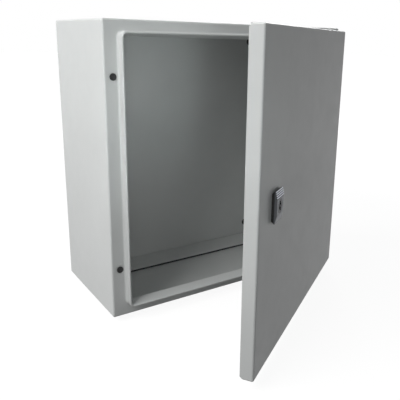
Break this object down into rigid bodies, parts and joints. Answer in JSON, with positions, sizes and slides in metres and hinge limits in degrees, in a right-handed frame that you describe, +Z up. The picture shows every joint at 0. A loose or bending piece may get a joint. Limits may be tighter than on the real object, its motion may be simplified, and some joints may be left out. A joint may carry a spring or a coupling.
{
  "type": "steel wall enclosure",
  "caption": "Square painted steel wall box with a rimmed front opening, a sealed door on concealed hinges, a quarter-turn cam lock and a gland plate in the floor.",
  "frame": {"origin": "centre of the wall face, the flat back of the box", "axes": "+Y out of the back towards the wall, -Y towards the front opening, +Z up, +X towards the hinge side"},
  "size_m": [0.4, 0.4072, 0.4095],
  "materials": {
    "paint": "light grey powder coat, satin with a fine orange peel",
    "zinc": "bright zinc plate",
    "lock": "grey coated zinc casting, satin",
    "rubber": "black, matt",
    "foam": "dark foamed gasket with a smooth skin"
  },
  "bodies": {
    "enclosure": {"body_wrap": "paint", "back_panel": "paint", "hinge_hole_plugs": "rubber", "wall_hole_seals": "rubber", "mounting_studs": "zinc", "gland_gasket": "rubber", "gland_plate": "paint", "gland_screws": "zinc", "gland_weld_nuts": "zinc", "body_earth_stud": "zinc", "body_earth_washer": "zinc", "body_earth_nut": "zinc", "upper_hinge_post": "zinc", "lower_hinge_post": "zinc", "hinge_post_washers": "zinc", "hinge_post_nuts": "zinc"},
    "door": {"door_panel": "paint", "door_gasket": "foam", "upper_hinge_bracket": "zinc", "lower_hinge_bracket": "zinc", "upper_hinge_pin": "zinc", "lower_hinge_pin": "zinc", "door_earth_stud": "zinc", "door_earth_washer": "zinc", "door_earth_nut": "zinc", "lock_seal": "rubber", "lock_housing": "lock", "lock_nut": "zinc"},
    "lock_rotor": {"lock_core": "lock", "lock_cam": "zinc", "lock_cam_washer": "zinc", "lock_cam_screw": "zinc"}
  },
  "joints": [
    {"name": "door_hinge", "type": "hinge", "parent": "enclosure", "child": "door", "pos_m": [0.19, -0.1907, 0], "axis": [0, 0, 1], "range_deg": [-33, 87]},
    {"name": "lock_turn", "type": "hinge", "parent": "door", "child": "lock_rotor", "pos_m": [-0.08253, -0.37878, 0], "axis": [-0.5446, 0.8387, 0], "range_deg": [0, 90]}
  ]
}
